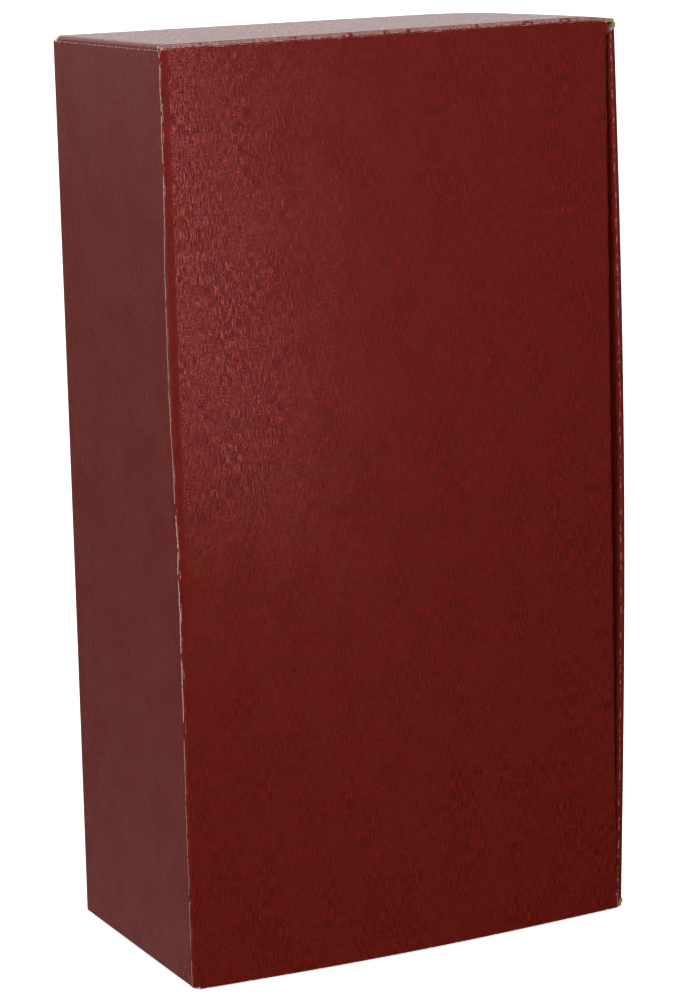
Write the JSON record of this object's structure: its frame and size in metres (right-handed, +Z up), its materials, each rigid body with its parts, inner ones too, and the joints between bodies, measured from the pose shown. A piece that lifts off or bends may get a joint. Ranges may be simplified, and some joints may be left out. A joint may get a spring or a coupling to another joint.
{
  "type": "bottle gift box",
  "caption": "Upright folding gift carton for wine bottles, with a side-hinged front lid, tuck flap, rolled double walls and a bottle divider.",
  "frame": {"origin": "middle of the bottom end's outer face, where the closed box stands", "axes": "+Z up the box from the bottom end to the top end, +X from the hinge side to the closing side, +Y from the lid to the back"},
  "size_m": [0.18, 0.102, 0.338],
  "materials": {
    "linen_board": "burgundy printed facing with a linen emboss, satin, pale where the creases are worn",
    "divider_board": "plain brown kraft liner, matte"
  },
  "bodies": {
    "carton": {"back_panel": "linen_board", "hinge_side_panel": "linen_board", "closing_side_outer_panel": "linen_board", "closing_side_roll_strip": "linen_board", "closing_side_inner_panel": "linen_board", "closing_side_top_corner_flap": "linen_board", "closing_side_bottom_corner_flap": "linen_board", "top_end_outer_panel": "linen_board", "top_end_roll_strip": "linen_board", "top_end_inner_panel": "linen_board", "top_end_corner_flap": "linen_board", "bottom_end_outer_panel": "linen_board", "bottom_end_roll_strip": "linen_board", "bottom_end_inner_panel": "linen_board", "bottom_end_corner_flap": "linen_board", "divider_left_foot": "divider_board", "divider_left_web": "divider_board", "divider_crest": "divider_board", "divider_right_web": "divider_board", "divider_right_foot": "divider_board"},
    "lid": {"lid_panel": "linen_board"},
    "tuck_flap": {"lid_tuck_flap": "linen_board"}
  },
  "joints": [
    {"name": "lid_crease", "type": "hinge", "parent": "carton", "child": "lid", "pos_m": [-0.09, -0.051, 0.169], "axis": [0, 0, -1], "range_deg": [0, 210]},
    {"name": "tuck_crease", "type": "hinge", "parent": "lid", "child": "tuck_flap", "pos_m": [0.0858, -0.051, 0.169], "axis": [0, 0, -1], "range_deg": [0, 105]}
  ],
  "couplings": [
    {"joint": "tuck_crease", "follows": "lid_crease", "ratio": 0.5}
  ]
}
